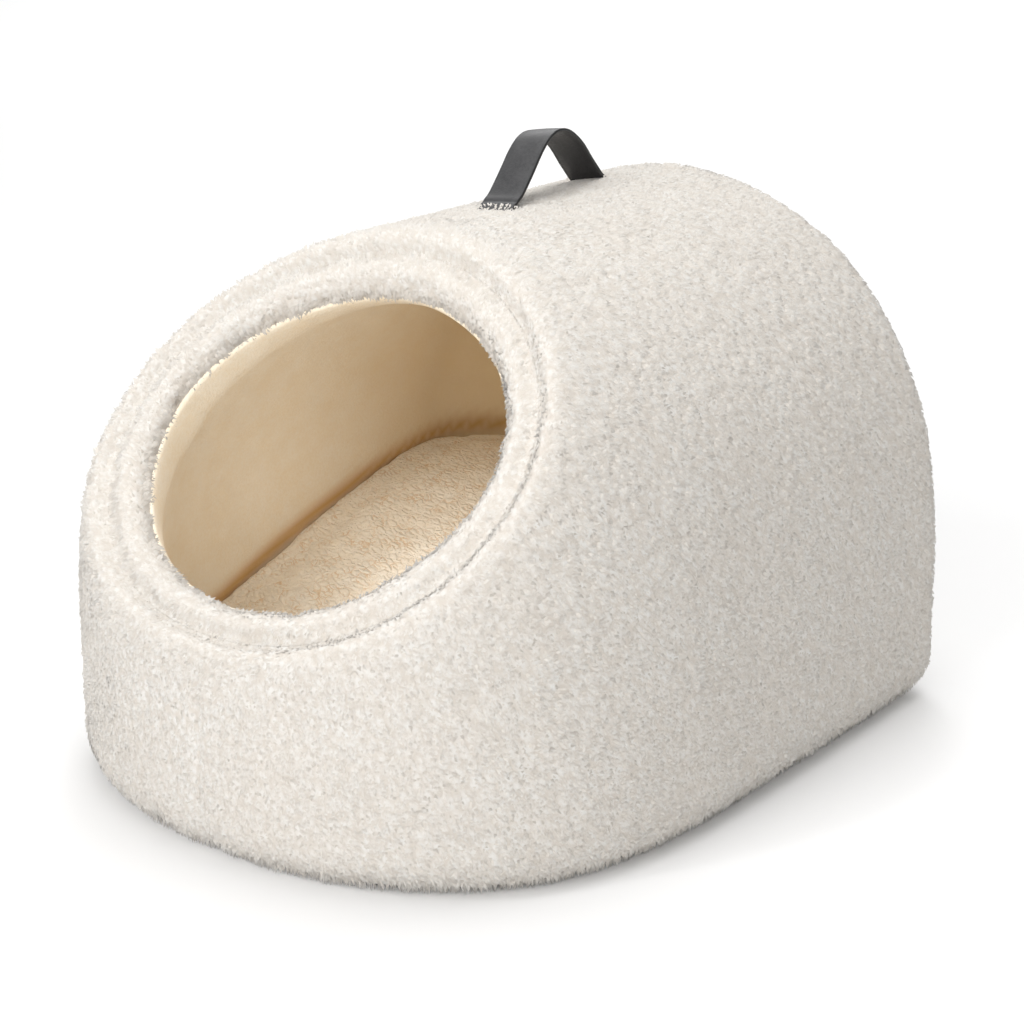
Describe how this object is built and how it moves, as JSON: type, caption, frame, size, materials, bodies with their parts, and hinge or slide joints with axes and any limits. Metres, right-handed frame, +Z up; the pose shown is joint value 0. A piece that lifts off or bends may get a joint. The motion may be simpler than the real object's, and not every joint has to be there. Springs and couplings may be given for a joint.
{
  "type": "semi-enclosed cat bed",
  "caption": "Padded fleece cat bed with a slanted oval mouth, a thick cushion inside and a leather carrying strap on top.",
  "frame": {"origin": "on the floor under the middle of the bed's bounding box", "axes": "+Z up, -Y out of the mouth, +Y to the closed back, +X to the right as seen by someone facing the back"},
  "size_m": [0.431, 0.5001, 0.3765],
  "materials": {
    "fleece": "curly long-pile fleece, matte",
    "velour": "short smooth velour",
    "plush": "wrinkled short plush",
    "canvas": "plain dark woven base cloth",
    "leather": "black, fine grain, satin, lighter edges"
  },
  "bodies": {
    "root": {"arch_wall": "fleece", "back_wall": "fleece", "rim_collar": "fleece", "lining": "velour", "cushion": "plush", "base_cloth": "canvas", "handle": "leather"}
  },
  "joints": []
}
